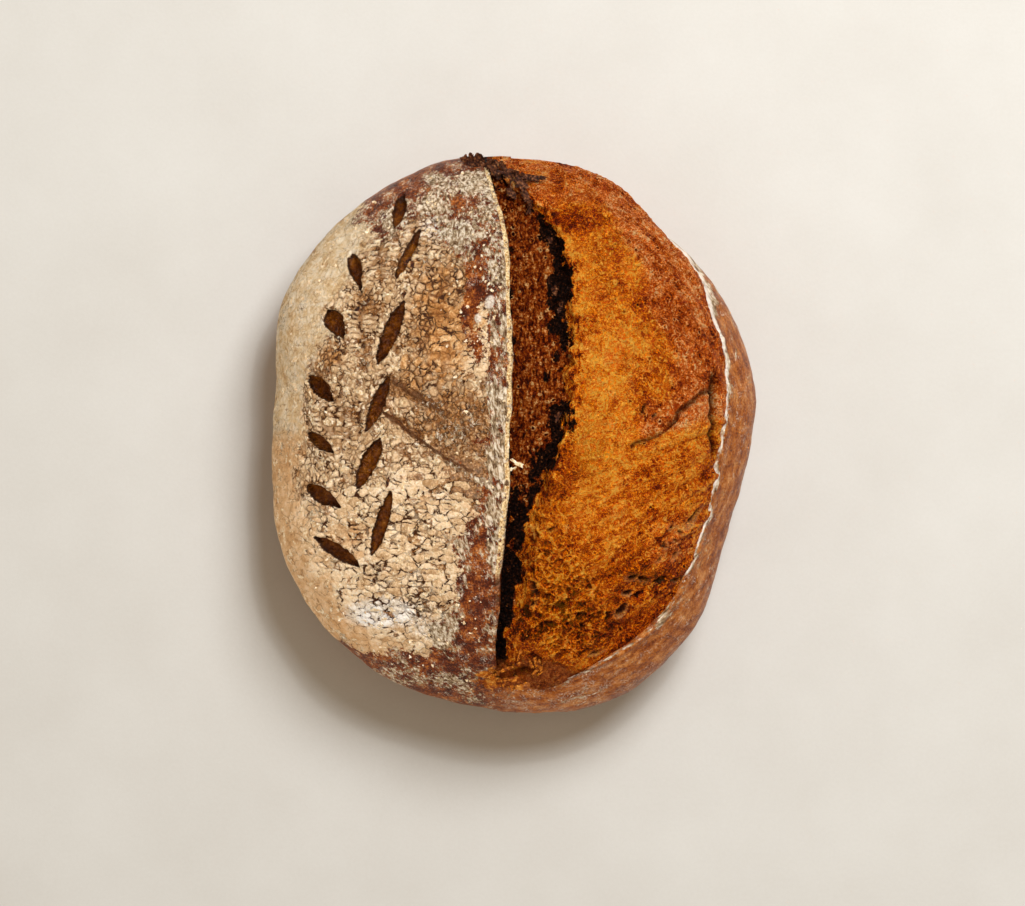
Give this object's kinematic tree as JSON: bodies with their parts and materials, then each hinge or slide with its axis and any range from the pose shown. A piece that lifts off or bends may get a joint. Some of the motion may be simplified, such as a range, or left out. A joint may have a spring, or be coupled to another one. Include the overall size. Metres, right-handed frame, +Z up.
{
  "type": "sourdough loaf",
  "caption": "Whole oval sourdough loaf with a floured, leaf-slashed left side, a raised crisp ear along the top and a golden torn bloom on the right.",
  "frame": {"origin": "on the table, under the middle of the loaf", "axes": "+Z up; +Y along the loaf's long axis, towards the burnt crest of the ear; +X from the floured side to the torn bloom"},
  "size_m": [0.2147, 0.2436, 0.0972],
  "materials": {
    "crust": "browned bread crust, half of it dusted with crackled pale flour"
  },
  "bodies": {
    "root": {"loaf": "crust"}
  },
  "joints": []
}
